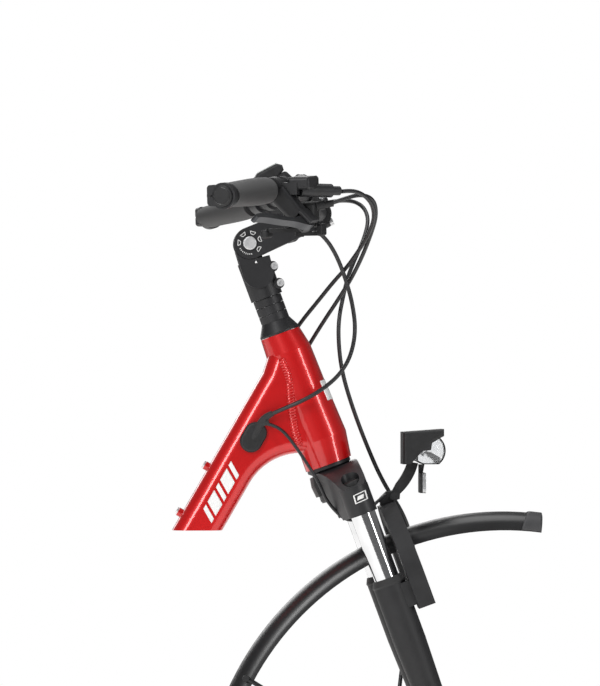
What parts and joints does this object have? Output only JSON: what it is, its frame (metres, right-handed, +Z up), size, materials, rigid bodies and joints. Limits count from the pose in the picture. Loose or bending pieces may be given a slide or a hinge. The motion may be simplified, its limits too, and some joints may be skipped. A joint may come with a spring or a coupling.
{
  "type": "electric bicycle front end",
  "caption": "Front end of a low-step electric bicycle: head tube and down tube, suspension fork, adjustable stem, swept handlebar with brakes, mudguard and front lamp.",
  "frame": {"origin": "centre of the down tube's cut face, where it joins the rest of the frame", "axes": "+X forwards, +Y to the rider's left, +Z up"},
  "size_m": [0.4448, 0.6736, 0.8426],
  "materials": {
    "red_paint": "gloss lacquer on aluminium",
    "black_paint": "satin black",
    "mudguard_black": "smooth black plastic on aluminium",
    "chromed": "polished",
    "steel": "zinc plated",
    "light_alloy": "plain",
    "dark_alloy": "grey anodised",
    "rubber": "matt",
    "black_plastic": "fine grained",
    "clear": "clear polycarbonate",
    "reflector": "prismatic white"
  },
  "bodies": {
    "frame": {"frame_front": "red_paint", "headset_bearings": "steel", "bottle_bolts": "steel", "port_covers": "black_plastic", "rear_brake_hose_lower": "rubber", "shift_cable_lower": "rubber", "cockpit_cable_lower": "rubber", "lamp_lead_upper": "rubber"},
    "steering": {"steerer_tube": "light_alloy", "fork_crown": "black_paint", "crown_bumper": "rubber", "stanchions": "chromed", "fork_springs": "steel", "headset_cover": "black_paint", "headset_spacers": "black_paint", "stem_base": "black_paint", "steerer_cap": "light_alloy", "stem_bolts": "steel"},
    "preload": {"preload_knob": "black_plastic"},
    "lockout": {"lockout_knob": "black_plastic"},
    "bars": {"stem_arm": "black_paint", "stem_faceplate": "black_paint", "faceplate_bolts": "steel", "handlebar": "black_paint", "grip_right": "rubber", "grip_left": "rubber", "grip_clamps": "black_paint", "bar_plugs": "black_plastic", "brake_body_right": "black_paint", "brake_body_left": "black_paint", "shifter_body": "black_plastic", "barrel_adjuster": "light_alloy", "remote_body": "black_plastic", "display": "black_plastic", "display_mount": "black_paint", "bell": "black_paint", "rear_brake_hose_upper": "rubber", "front_brake_hose_upper": "rubber", "shift_cable_upper": "rubber", "cockpit_cable_upper": "rubber"},
    "right_brake": {"brake_blade_right": "dark_alloy"},
    "left_brake": {"brake_blade_left": "dark_alloy"},
    "thumb_lever": {"shift_lever": "black_plastic"},
    "trigger": {"release_lever": "black_plastic"},
    "plus_button": {"remote_plus": "rubber"},
    "minus_button": {"remote_minus": "rubber"},
    "striker": {"bell_hammer": "steel"},
    "lowers": {"fork_lowers": "black_paint", "dust_seals": "rubber", "fork_rods": "light_alloy", "brake_caliper": "black_paint", "mudguard": "mudguard_black", "guard_stays": "steel", "lamp_base": "black_paint", "front_brake_hose_lower": "rubber", "lamp_lead_lower": "rubber"},
    "lamp": {"lamp_arm": "black_paint", "lamp_body": "black_plastic", "lamp_lens": "clear", "front_reflector": "reflector"}
  },
  "joints": [
    {"name": "steering_turn", "type": "hinge", "parent": "frame", "child": "steering", "pos_m": [0.1576, 0, 0.0792], "axis": [-0.3469, 0, 0.9379], "range_deg": [-60, 60], "deforming": ["rear_brake_hose_lower", "shift_cable_lower", "cockpit_cable_lower", "lamp_lead_upper"]},
    {"name": "stem_tilt", "type": "hinge", "parent": "steering", "child": "bars", "pos_m": [0.06255, 0, 0.34365], "axis": [0, -1, 0], "range_deg": [-10, 44], "deforming": ["rear_brake_hose_upper", "front_brake_hose_upper", "shift_cable_upper", "cockpit_cable_upper"]},
    {"name": "fork_travel", "type": "slide", "parent": "steering", "child": "lowers", "axis": [-0.3469, 0, 0.9379], "range_m": [0, 0.05], "stiffness_N_per_m": 9000, "springref_m": -0.008, "deforming": ["fork_springs", "front_brake_hose_lower", "lamp_lead_lower"]},
    {"name": "preload_turn", "type": "hinge", "parent": "steering", "child": "preload", "pos_m": [0.18384, 0.064, 0.05266], "axis": [-0.3469, 0, 0.9379], "range_deg": [0, 300]},
    {"name": "lockout_turn", "type": "hinge", "parent": "steering", "child": "lockout", "pos_m": [0.18384, -0.064, 0.05266], "axis": [0.3469, 0, -0.9379], "range_deg": [0, 90]},
    {"name": "lamp_tilt", "type": "hinge", "parent": "lowers", "child": "lamp", "pos_m": [0.2364, 0, 0.0402], "axis": [0, 1, 0], "range_deg": [-12, 15]},
    {"name": "right_brake_squeeze", "type": "hinge", "parent": "bars", "child": "right_brake", "pos_m": [0.12462, -0.18469, 0.36208], "axis": [-0.6303, 0.326, -0.7046], "range_deg": [0, 6], "stiffness_Nm_per_rad": 3, "springref_deg": -5.73},
    {"name": "left_brake_squeeze", "type": "hinge", "parent": "bars", "child": "left_brake", "pos_m": [0.12462, 0.18469, 0.36208], "axis": [0.6303, 0.326, 0.7046], "range_deg": [0, 6], "stiffness_Nm_per_rad": 3, "springref_deg": -5.73},
    {"name": "thumb_shift", "type": "hinge", "parent": "bars", "child": "thumb_lever", "pos_m": [0.11894, -0.15269, 0.35386], "axis": [0.0323, 0.078, -0.9964], "range_deg": [0, 20], "stiffness_Nm_per_rad": 0.6, "springref_deg": -5.73},
    {"name": "trigger_release", "type": "hinge", "parent": "bars", "child": "trigger", "pos_m": [0.11894, -0.15269, 0.35386], "axis": [-0.0323, -0.078, 0.9964], "range_deg": [0, 12], "stiffness_Nm_per_rad": 0.5, "springref_deg": -5.73},
    {"name": "plus_press", "type": "slide", "parent": "bars", "child": "plus_button", "axis": [0.0323, -0.078, -0.9964], "range_m": [0, 0.001], "stiffness_N_per_m": 400, "springref_m": -0.001},
    {"name": "minus_press", "type": "slide", "parent": "bars", "child": "minus_button", "axis": [0.0323, -0.078, -0.9964], "range_m": [0, 0.001], "stiffness_N_per_m": 400, "springref_m": -0.001},
    {"name": "bell_strike", "type": "hinge", "parent": "bars", "child": "striker", "pos_m": [0.13584, -0.08561, 0.41035], "axis": [0.4045, 0.8382, -0.3657], "range_deg": [0, 25], "stiffness_Nm_per_rad": 0.05, "springref_deg": -5.73}
  ]
}
